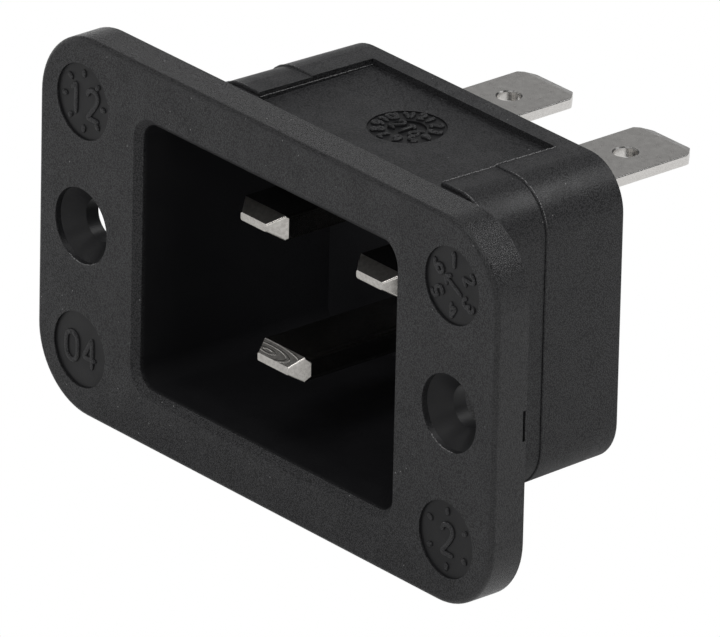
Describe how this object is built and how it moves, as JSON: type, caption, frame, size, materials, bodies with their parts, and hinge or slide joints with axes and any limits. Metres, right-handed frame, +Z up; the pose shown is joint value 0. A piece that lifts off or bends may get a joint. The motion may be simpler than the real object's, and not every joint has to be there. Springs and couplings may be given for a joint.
{
  "type": "panel-mount power inlet",
  "caption": "Panel-mount mains power inlet: black moulded flange with countersunk screw holes, deep rectangular recess with flat plated pins, and quick-connect tabs at the rear.",
  "frame": {"origin": "middle of the flange's back face, on the line between the two screw holes, where the flange meets the panel", "axes": "+X right as seen from the front along the flange's long side, +Y into the panel, +Z up with the earth pin below"},
  "size_m": [0.0514, 0.0332, 0.03],
  "materials": {
    "housing_plastic": "fine spark-eroded grain, black thermoplastic",
    "pin_nickel": "bright nickel plate over brass",
    "terminal_nickel": "satin nickel plate over brass"
  },
  "bodies": {
    "root": {"housing": "housing_plastic", "line_pin": "pin_nickel", "neutral_pin": "pin_nickel", "earth_pin": "pin_nickel", "line_terminal": "terminal_nickel", "neutral_terminal": "terminal_nickel", "earth_terminal": "terminal_nickel"}
  },
  "joints": []
}
